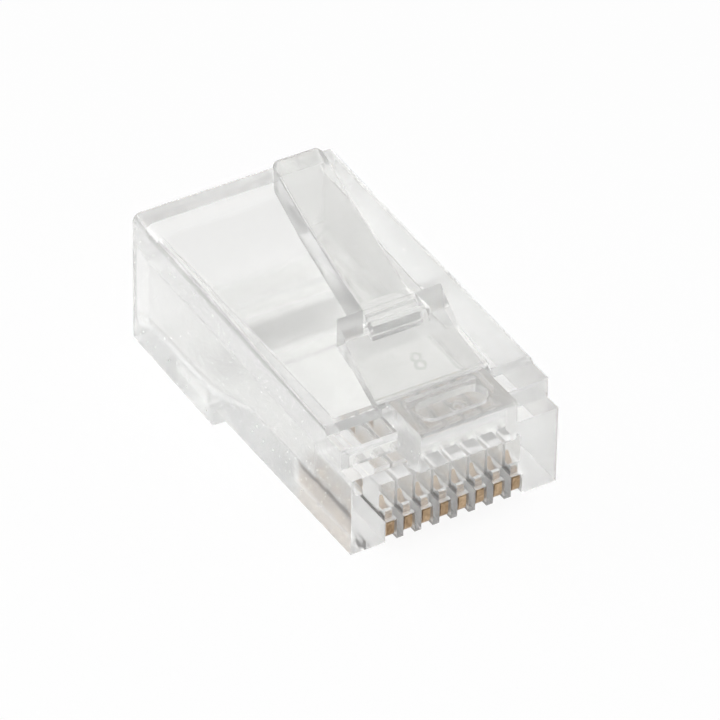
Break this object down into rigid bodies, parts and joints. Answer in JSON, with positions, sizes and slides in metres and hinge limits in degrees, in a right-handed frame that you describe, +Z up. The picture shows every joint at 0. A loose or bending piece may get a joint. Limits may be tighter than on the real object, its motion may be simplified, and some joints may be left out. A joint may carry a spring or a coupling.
{
  "type": "rj45 modular plug",
  "caption": "Clear moulded modular plug with a sprung locking tab, a comb of wire channels over blade contacts, and an open rear cavity for the cable jacket.",
  "frame": {"origin": "middle of the underside of the plug's bounding box, with the deeper cable end on the ground plane", "axes": "+X across the plug, +Y from the nose to the cable end, +Z up from the contact face to the latch"},
  "size_m": [0.0116, 0.0226, 0.0133],
  "materials": {
    "clear_plastic": "clear polycarbonate, as moulded",
    "gold_plate": "gold plated copper alloy"
  },
  "bodies": {
    "plug_body": {"housing": "clear_plastic", "contact_1": "gold_plate", "contact_2": "gold_plate", "contact_3": "gold_plate", "contact_4": "gold_plate", "contact_5": "gold_plate", "contact_6": "gold_plate", "contact_7": "gold_plate", "contact_8": "gold_plate"},
    "tab": {"latch": "clear_plastic"}
  },
  "joints": [
    {"name": "latch_press", "type": "hinge", "parent": "plug_body", "child": "tab", "pos_m": [0, -0.00768, 0.00759], "axis": [-1, 0, 0], "range_deg": [0, 13], "stiffness_Nm_per_rad": 0.01}
  ]
}
